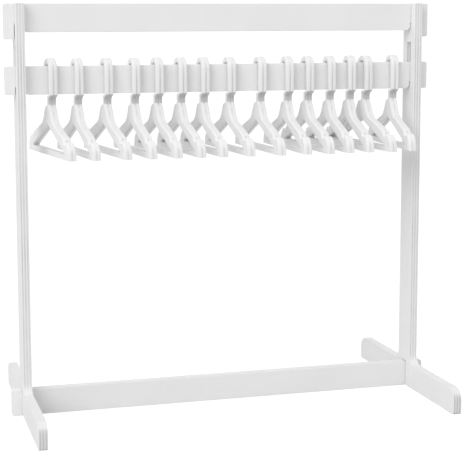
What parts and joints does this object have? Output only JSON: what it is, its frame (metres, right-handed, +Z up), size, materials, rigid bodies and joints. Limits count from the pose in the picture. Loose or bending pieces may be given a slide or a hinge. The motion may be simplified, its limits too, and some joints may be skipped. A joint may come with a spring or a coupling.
{
  "type": "miniature wardrobe rack",
  "caption": "Open white plywood clothes rack for dolls, slotted together from side frames and rails, with hangers that swing on its rail.",
  "frame": {"origin": "centre of the footprint at floor level, under the rails", "axes": "+X along the rails, to the right seen from the front; +Y to the back; +Z up"},
  "size_m": [0.304, 0.16, 0.28],
  "materials": {
    "frame_white": "white painted plywood, satin, plies showing on the cut edges",
    "rail_white": "white painted plywood, satin",
    "hanger_white": "white painted thin plywood, satin"
  },
  "bodies": {
    "rack": {"left_side_frame": "frame_white", "right_side_frame": "frame_white", "top_rail": "rail_white", "hanging_rail": "rail_white", "base_rail": "rail_white"},
    "hanger_01": {"hanger_01": "hanger_white"},
    "hanger_02": {"hanger_02": "hanger_white"},
    "hanger_03": {"hanger_03": "hanger_white"},
    "hanger_04": {"hanger_04": "hanger_white"},
    "hanger_05": {"hanger_05": "hanger_white"},
    "hanger_06": {"hanger_06": "hanger_white"},
    "hanger_07": {"hanger_07": "hanger_white"},
    "hanger_08": {"hanger_08": "hanger_white"},
    "hanger_09": {"hanger_09": "hanger_white"},
    "hanger_10": {"hanger_10": "hanger_white"},
    "hanger_11": {"hanger_11": "hanger_white"},
    "hanger_12": {"hanger_12": "hanger_white"},
    "hanger_13": {"hanger_13": "hanger_white"},
    "hanger_14": {"hanger_14": "hanger_white"},
    "hanger_15": {"hanger_15": "hanger_white"}
  },
  "joints": [
    {"name": "hanger_01_swing", "type": "hinge", "parent": "rack", "child": "hanger_01", "pos_m": [-0.1213, 0, 0.23564], "axis": [0.993, 0.1184, 0], "range_deg": [-25, 4]},
    {"name": "hanger_02_swing", "type": "hinge", "parent": "rack", "child": "hanger_02", "pos_m": [-0.1033, 0, 0.23549], "axis": [0.9972, 0.075, 0], "range_deg": [-25, 4]},
    {"name": "hanger_03_swing", "type": "hinge", "parent": "rack", "child": "hanger_03", "pos_m": [-0.0832, 0, 0.23553], "axis": [0.9962, 0.0872, 0], "range_deg": [-25, 4]},
    {"name": "hanger_04_swing", "type": "hinge", "parent": "rack", "child": "hanger_04", "pos_m": [-0.064, 0, 0.23537], "axis": [0.9994, 0.0349, 0], "range_deg": [-25, 4]},
    {"name": "hanger_05_swing", "type": "hinge", "parent": "rack", "child": "hanger_05", "pos_m": [-0.0478, 0, 0.23543], "axis": [0.9985, 0.0541, 0], "range_deg": [-25, 4]},
    {"name": "hanger_06_swing", "type": "hinge", "parent": "rack", "child": "hanger_06", "pos_m": [-0.0313, 0, 0.23539], "axis": [0.9991, 0.0419, 0], "range_deg": [-25, 4]},
    {"name": "hanger_07_swing", "type": "hinge", "parent": "rack", "child": "hanger_07", "pos_m": [-0.0151, 0, 0.23533], "axis": [0.9998, 0.0175, 0], "range_deg": [-25, 4]},
    {"name": "hanger_08_swing", "type": "hinge", "parent": "rack", "child": "hanger_08", "pos_m": [0.0038, 0, 0.23532], "axis": [0.9999, 0.0157, 0], "range_deg": [-25, 4]},
    {"name": "hanger_09_swing", "type": "hinge", "parent": "rack", "child": "hanger_09", "pos_m": [0.0262, 0, 0.23529], "axis": [1, -0.0035, 0], "range_deg": [-25, 4]},
    {"name": "hanger_10_swing", "type": "hinge", "parent": "rack", "child": "hanger_10", "pos_m": [0.0464, 0, 0.23539], "axis": [0.9991, -0.0419, 0], "range_deg": [-25, 4]},
    {"name": "hanger_11_swing", "type": "hinge", "parent": "rack", "child": "hanger_11", "pos_m": [0.0614, 0, 0.23531], "axis": [0.9999, -0.0122, 0], "range_deg": [-25, 4]},
    {"name": "hanger_12_swing", "type": "hinge", "parent": "rack", "child": "hanger_12", "pos_m": [0.078, 0, 0.23545], "axis": [0.998, -0.0628, 0], "range_deg": [-25, 4]},
    {"name": "hanger_13_swing", "type": "hinge", "parent": "rack", "child": "hanger_13", "pos_m": [0.0933, 0, 0.23551], "axis": [0.9966, -0.0819, 0], "range_deg": [-25, 4]},
    {"name": "hanger_14_swing", "type": "hinge", "parent": "rack", "child": "hanger_14", "pos_m": [0.1052, 0, 0.23533], "axis": [0.9998, 0.0175, 0], "range_deg": [-25, 4]},
    {"name": "hanger_15_swing", "type": "hinge", "parent": "rack", "child": "hanger_15", "pos_m": [0.1262, 0, 0.23565], "axis": [0.9925, -0.1219, 0], "range_deg": [-25, 4]}
  ]
}
